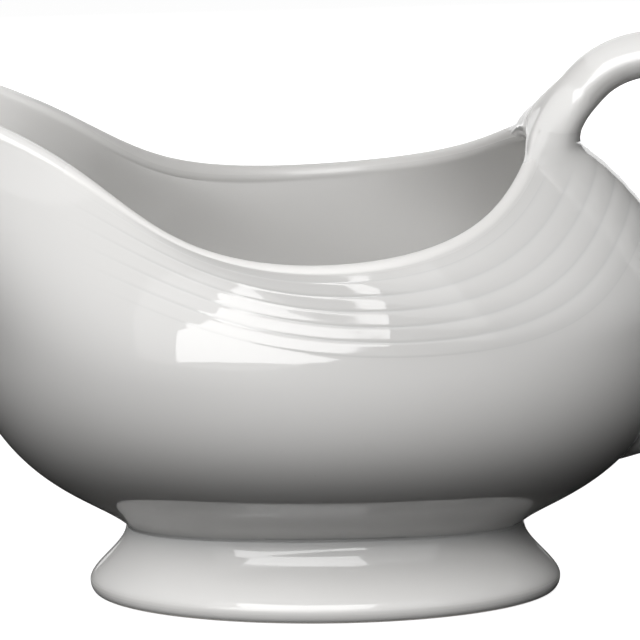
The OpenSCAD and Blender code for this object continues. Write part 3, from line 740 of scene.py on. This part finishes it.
def make_flags():
    dark = plain_material("studio_flag_black", FLAG_COLOUR)
    make_flag("studio_flag_floor", FLOOR_FLAG_SIZE, (0, 0, FLOOR_FLAG_HEIGHT), (0, 0, 0), dark)
    for name, aside in (("studio_flag_left", -SIDE_FLAG_ASIDE), ("studio_flag_right", SIDE_FLAG_ASIDE)):
        place = (aside, SIDE_FLAG_BACK, SIDE_FLAG_HEIGHT)
        make_flag(name, SIDE_FLAG_SIZE, place, (UPRIGHT, 0, UPRIGHT), dark)
    make_gobo(dark)


# Outline of the strip that the wall mirrors, as azimuths and elevations seen from the bowl
STRIP_OUTLINE = ((-38, -3), (-27, -1), (-17, -2.5), (-8, -5.5), (0, -8), (8, -9.5), (17, -11),
                 (17, -5), (10, -4), (0, -3), (-12, 3), (-24, 11), (-33, 18), (-38.5, 16))
STRIP_CENTRE, STRIP_SHIFT, STRIP_DISTANCE, STRIP_GLOW = (-0.0035, -0.0565, 0.060), 0.0007, 0.3, 6.5


def direction(azimuth, elevation):
    """A way from the object into the studio; azimuth 0 is towards the camera's side."""
    az, el = math.radians(azimuth), math.radians(elevation)
    return Vector((math.sin(az) * math.cos(el), -math.cos(az) * math.cos(el), math.sin(el)))


def make_strip():
    """A bright card that only the glaze mirrors."""
    corners = [Vector(STRIP_CENTRE) + Vector((az * STRIP_SHIFT, 0, 0))
               + direction(az, el) * STRIP_DISTANCE for az, el in STRIP_OUTLINE]
    mesh = bpy.data.meshes.new("studio_strip")
    mesh.from_pydata(corners, [], [tuple(range(len(corners)))])
    strip = bpy.data.objects.new("studio_strip", mesh)
    bpy.context.scene.collection.objects.link(strip)
    material = plain_material("studio_strip_white", (0, 0, 0))
    shader = material.node_tree.nodes["Principled BSDF"]
    shader.inputs["Emission Color"].default_value = WHITE
    shader.inputs["Emission Strength"].default_value = STRIP_GLOW
    mesh.materials.append(material)
    strip.visible_camera = strip.visible_diffuse = strip.visible_shadow = False


# Angles in degrees, sizes in metres, power in watts; the glaze mirrors only the lamps that say so
Lamp = namedtuple("Lamp", "name target azimuth elevation size power mirrored")
WORLD_LIGHT, LAMP_DISTANCE, BOWL_MIDDLE, FOOT_MIDDLE = 0.01, 0.7, (0, 0, 0.05), (0, 0, 0.01)
FOOT_FILL = "foot_fill"
LAMPS = (
    Lamp("key_softbox", BOWL_MIDDLE, -8, 38, (0.55, 0.6), 5.6, True),
    Lamp("back_softbox", BOWL_MIDDLE, 186, 20, (0.9, 0.45), 4.2, False),
    Lamp("side_fill", BOWL_MIDDLE, 36, 46, (0.4, 0.4), 0.7, False),
    Lamp("left_fill", BOWL_MIDDLE, -92, 22, (0.4, 0.4), 0.7, False),
    Lamp(FOOT_FILL, FOOT_MIDDLE, -42, 35, (0.3, 0.3), 1.3, False))


def add_area(lamp):
    area = bpy.data.lights.new(lamp.name, "AREA")
    area.shape = "RECTANGLE"
    area.size, area.size_y = lamp.size
    area.energy = lamp.power
    light = bpy.data.objects.new(lamp.name, area)
    way = direction(lamp.azimuth, lamp.elevation)
    light.location = Vector(lamp.target) + way * LAMP_DISTANCE
    light.rotation_euler = (-way).to_track_quat("-Z", "Y").to_euler()
    light.visible_glossy = lamp.mirrored
    bpy.context.scene.collection.objects.link(light)


def make_world():
    world = bpy.data.worlds.new("studio")
    bpy.context.scene.world = world
    world.use_nodes = True
    tree = world.node_tree
    background = tree.nodes["Background"]
    background.inputs["Color"].default_value = WHITE
    level = ramp(tree, seen_directly(tree), 0.0, 1.0, WORLD_LIGHT, 1.0)
    tree.links.new(level, background.inputs["Strength"])


def make_lamps():
    for lamp in LAMPS:
        add_area(lamp)
    lit = bpy.data.collections.new("lit_by_foot_fill")
    lit.objects.link(bpy.data.objects["foot_casting"])
    linking = bpy.data.objects[FOOT_FILL].light_linking
    linking.receiver_collection = lit
    linking.blocker_collection = lit


# The camera was solved from the photo's outline; the lens is given in pixels of the photo
PHOTO_PIXELS, SENSOR = 640, 36.0
FOCAL_PIXELS, CAMERA_DISTANCE = 6761.1, 1.3
CAMERA_TILT, CAMERA_YAW, CAMERA_ROLL = math.radians(11.0), math.radians(2.178), math.radians(0.297)
LOOK_ASIDE, LOOK_HEIGHT = -0.00081, 0.0527


def make_camera():
    camera = bpy.data.cameras.new("photo_camera")
    camera.sensor_width = SENSOR
    camera.lens = FOCAL_PIXELS / PHOTO_PIXELS * SENSOR
    holder = bpy.data.objects.new("photo_camera", camera)
    right = Vector((math.cos(CAMERA_YAW), -math.sin(CAMERA_YAW), 0))
    ahead = Vector((math.sin(CAMERA_YAW), math.cos(CAMERA_YAW), 0))
    look = ahead * math.cos(CAMERA_TILT) - Vector((0, 0, math.sin(CAMERA_TILT)))
    target = right * LOOK_ASIDE + Vector((0, 0, LOOK_HEIGHT))
    holder.location = target - look * CAMERA_DISTANCE
    turn = look.to_track_quat("-Z", "Y").to_matrix() @ Euler((0, 0, -CAMERA_ROLL)).to_matrix()
    holder.rotation_euler = turn.to_euler()
    bpy.context.scene.collection.objects.link(holder)
    bpy.context.scene.camera = holder


glaze = make_glaze("white_glaze", GLAZE_CLEAR, GLAZE_CLOUDY)
slip = make_glaze("glazed_slip", SLIP_CLEAR, SLIP_CLOUDY)
make_bowl(glaze)
make_foot(glaze)
make_foot_slip(slip)
make_handle(glaze)
make_slip("upper_slip", UPPER_SEAT, FIRST_SECTION, UPPER_WAY, "upper_slip_joint", slip)
make_slip("lower_slip", LOWER_SEAT, LAST_SECTION, LOWER_WAY, "lower_slip_joint", slip)
make_floor()
make_flags()
make_strip()
make_world()
make_lamps()
make_camera()
bpy.context.scene.view_settings.view_transform = "Standard"
